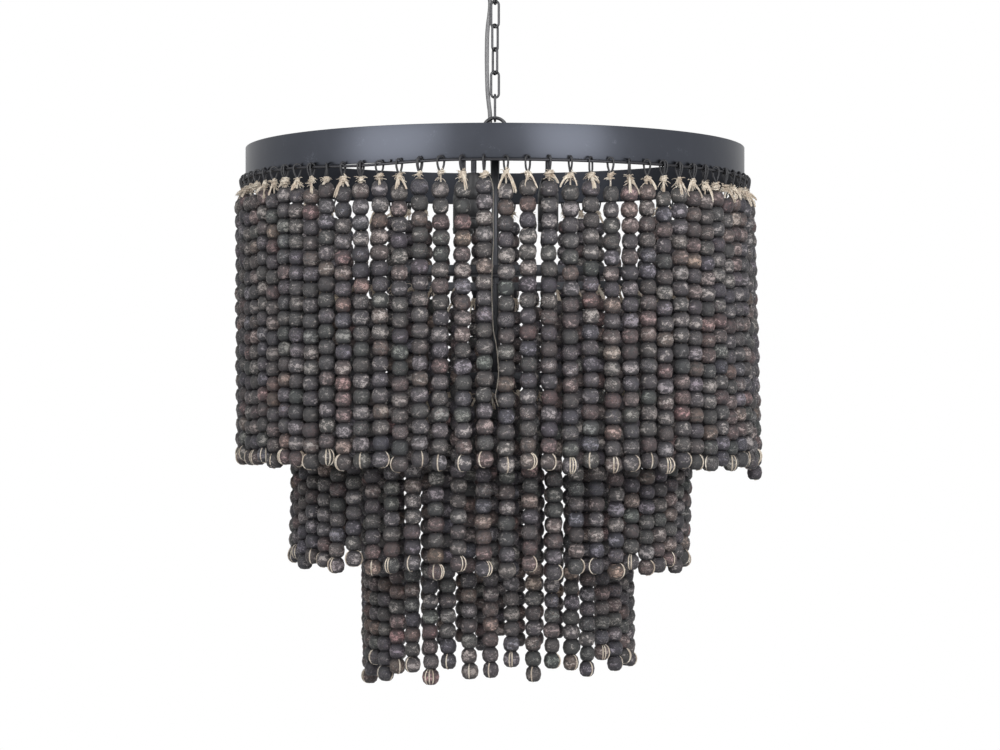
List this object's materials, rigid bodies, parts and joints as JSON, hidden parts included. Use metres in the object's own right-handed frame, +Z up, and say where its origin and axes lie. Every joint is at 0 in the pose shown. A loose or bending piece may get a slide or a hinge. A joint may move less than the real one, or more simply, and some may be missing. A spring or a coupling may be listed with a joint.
{
  "type": "beaded chandelier",
  "caption": "Round three-tier chandelier of hanging bead strands on a dark steel hoop and rings, with a stem, lamp holders, chain, cable and ceiling canopy.",
  "frame": {"origin": "the point of the ceiling plane above the chandelier's axis, on the top face of the ceiling bracket", "axes": "+Z up along the chain and the stem, so the chandelier hangs to -Z; -Y towards the camera of the picture"},
  "size_m": [0.598, 0.598, 0.8513],
  "materials": {
    "frame_steel": "satin dark grey paint",
    "hoop_steel": "satin blue-grey rolled steel",
    "chain_steel": "dull dark grey",
    "cable_sheath": "matt grey sheath",
    "lamp_holder": "matt black",
    "bead": "scuffed charcoal wash with lighter flecks",
    "twine": "undyed jute",
    "cord": "black waxed cord"
  },
  "bodies": {
    "ceiling_fitting": {"ceiling_bracket": "frame_steel", "nipple": "frame_steel", "canopy": "frame_steel", "canopy_bush": "cable_sheath", "collar_nut": "frame_steel", "canopy_loop": "chain_steel", "supply_cable": "cable_sheath"},
    "link_1": {"chain_link_1": "chain_steel"},
    "link_2": {"chain_link_2": "chain_steel"},
    "link_3": {"chain_link_3": "chain_steel"},
    "link_4": {"chain_link_4": "chain_steel"},
    "link_5": {"chain_link_5": "chain_steel"},
    "link_6": {"chain_link_6": "chain_steel"},
    "drum": {"hub_loop": "chain_steel", "wiring_cover": "frame_steel", "cover_bush": "cable_sheath", "top_spider": "frame_steel", "hoop": "hoop_steel", "stem": "frame_steel", "middle_spider": "frame_steel", "middle_ring": "hoop_steel", "lower_spider": "frame_steel", "lower_ring": "hoop_steel", "stem_finial": "frame_steel", "lamp_tube_1": "frame_steel", "lamp_tube_2": "frame_steel", "lamp_tube_3": "frame_steel", "lamp_holder_1": "lamp_holder", "lamp_holder_2": "lamp_holder", "lamp_holder_3": "lamp_holder", "upper_strands_1": "bead", "upper_strands_2": "bead", "upper_strands_3": "bead", "upper_strands_4": "bead", "upper_strands_5": "bead", "upper_strands_6": "bead", "upper_strands_7": "bead", "upper_strands_8": "bead", "upper_strands_9": "bead", "middle_strands_1": "bead", "middle_strands_2": "bead", "middle_strands_3": "bead", "middle_strands_4": "bead", "middle_strands_5": "bead", "lower_strands_1": "bead", "lower_strands_2": "bead", "lower_strands_3": "bead", "lower_strands_4": "bead", "lower_strands_5": "bead"},
    "upper_hanging_strand_1": {"upper_swing_strand_1": "bead"},
    "upper_hanging_strand_2": {"upper_swing_strand_2": "bead"},
    "middle_hanging_strand_1": {"middle_swing_strand_1": "bead"},
    "middle_hanging_strand_2": {"middle_swing_strand_2": "bead"},
    "lower_hanging_strand_1": {"lower_swing_strand_1": "bead"},
    "lower_hanging_strand_2": {"lower_swing_strand_2": "bead"}
  },
  "joints": [
    {"name": "chain_swing_1", "type": "hinge", "parent": "ceiling_fitting", "child": "link_1", "pos_m": [0, 0, -0.0609], "axis": [1, 0, 0], "range_deg": [-8, 8], "deforming": ["supply_cable"]},
    {"name": "chain_swing_2", "type": "hinge", "parent": "link_1", "child": "link_2", "pos_m": [0, 0, -0.0874], "axis": [0.309, 0.9511, 0], "range_deg": [-8, 8]},
    {"name": "chain_swing_3", "type": "hinge", "parent": "link_2", "child": "link_3", "pos_m": [0, 0, -0.1145], "axis": [0.9511, -0.309, 0], "range_deg": [-8, 8]},
    {"name": "chain_swing_4", "type": "hinge", "parent": "link_3", "child": "link_4", "pos_m": [0, 0, -0.1416], "axis": [0.682, 0.7314, 0], "range_deg": [-8, 8]},
    {"name": "chain_swing_5", "type": "hinge", "parent": "link_4", "child": "link_5", "pos_m": [0, 0, -0.1687], "axis": [0.5446, -0.8387, 0], "range_deg": [-8, 8]},
    {"name": "chain_swing_6", "type": "hinge", "parent": "link_5", "child": "link_6", "pos_m": [0, 0, -0.1958], "axis": [0.9703, 0.2419, 0], "range_deg": [-8, 8]},
    {"name": "chain_swing_7", "type": "hinge", "parent": "link_6", "child": "drum", "pos_m": [0, 0, -0.2229], "axis": [0, 1, 0], "range_deg": [-8, 8]},
    {"name": "upper_strand_swing_1", "type": "hinge", "parent": "drum", "child": "upper_hanging_strand_1", "pos_m": [0.24533, 0.15463, -0.2953], "axis": [0.5332, -0.846, 0], "range_deg": [-8, 25]},
    {"name": "upper_strand_swing_2", "type": "hinge", "parent": "drum", "child": "upper_hanging_strand_2", "pos_m": [0.03367, -0.28804, -0.2953], "axis": [-0.9932, -0.1161, 0], "range_deg": [-8, 25]},
    {"name": "middle_strand_swing_1", "type": "hinge", "parent": "drum", "child": "middle_hanging_strand_1", "pos_m": [0.21208, 0.06892, -0.4093], "axis": [0.3091, -0.951, 0], "range_deg": [-9, 12]},
    {"name": "middle_strand_swing_2", "type": "hinge", "parent": "drum", "child": "middle_hanging_strand_2", "pos_m": [-0.06281, -0.21397, -0.4093], "axis": [-0.9595, 0.2817, 0], "range_deg": [-9, 12]},
    {"name": "lower_strand_swing_1", "type": "hinge", "parent": "drum", "child": "lower_hanging_strand_1", "pos_m": [0.10941, 0.10114, -0.5233], "axis": [0.6788, -0.7343, 0], "range_deg": [-15, 14]},
    {"name": "lower_strand_swing_2", "type": "hinge", "parent": "drum", "child": "lower_hanging_strand_2", "pos_m": [-0.00585, -0.14888, -0.5233], "axis": [-0.9992, 0.0393, 0], "range_deg": [-15, 14]}
  ]
}
